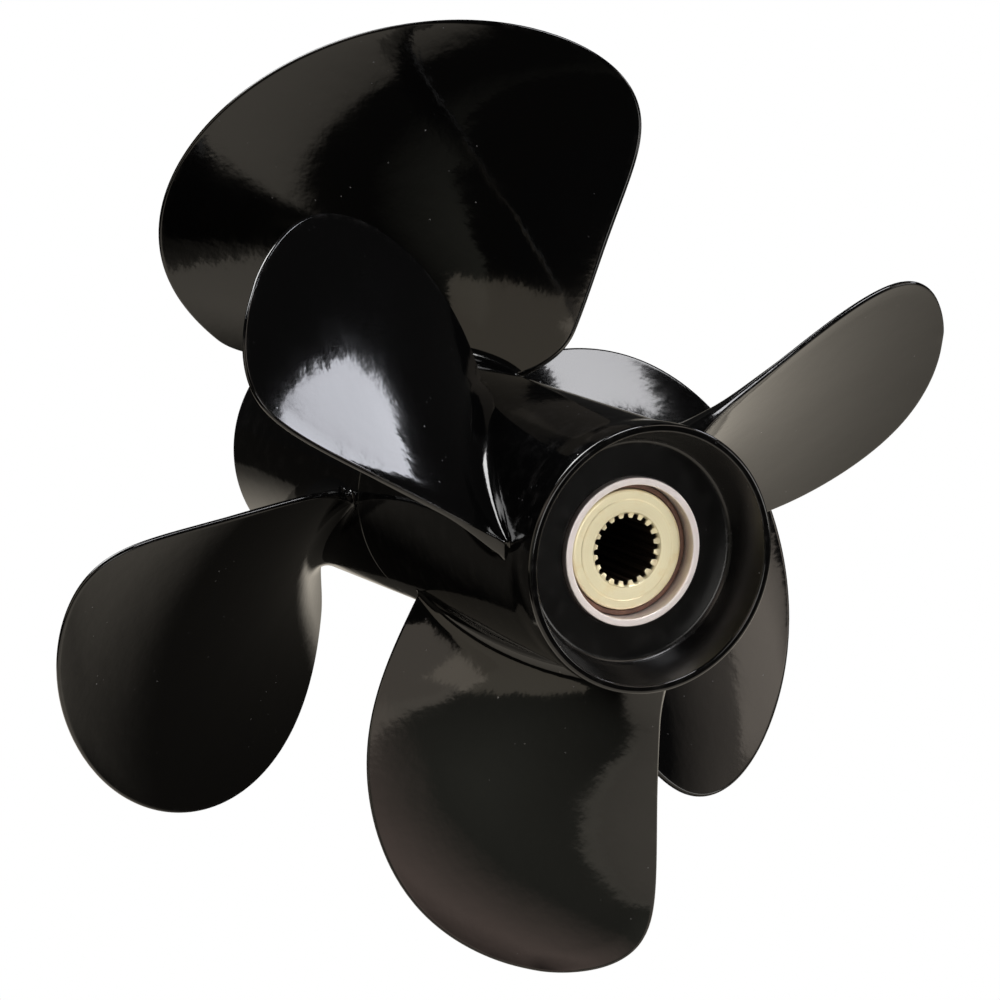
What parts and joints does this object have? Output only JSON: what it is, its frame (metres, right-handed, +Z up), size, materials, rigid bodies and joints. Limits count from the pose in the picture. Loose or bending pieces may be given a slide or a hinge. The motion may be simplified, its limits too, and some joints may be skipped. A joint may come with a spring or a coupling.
{
  "type": "contra-rotating ship propeller set",
  "caption": "Pair of handed stern drive propellers on one axis, each a bladed hub with a rubber-cushioned splined sleeve, turning opposite ways.",
  "frame": {"origin": "on the shafts' axis, at the centre of the forward hub's front face", "axes": "+Y along the shafts' axis towards the boat, -Y aft, +Z up, +X to starboard"},
  "size_m": [0.3637, 0.2886, 0.3703],
  "materials": {
    "black_paint": "gloss black paint on a cast aluminium body",
    "machined_aluminium": "machined",
    "bush_rubber": "reddish brown, matt",
    "sleeve_bronze": "machined"
  },
  "bodies": {
    "forward_propeller": {"forward_propeller": "black_paint", "forward_bush_shell": "machined_aluminium", "forward_rubber_bush": "bush_rubber", "forward_splined_sleeve": "sleeve_bronze"},
    "aft_propeller": {"aft_propeller": "black_paint", "aft_bush_shell": "machined_aluminium", "aft_rubber_bush": "bush_rubber", "aft_splined_sleeve": "sleeve_bronze"}
  },
  "joints": [
    {"name": "aft_spin", "type": "hinge", "parent": "forward_propeller", "child": "aft_propeller", "pos_m": [0, -0.2, 0], "axis": [0, 1, 0], "continuous": true}
  ]
}
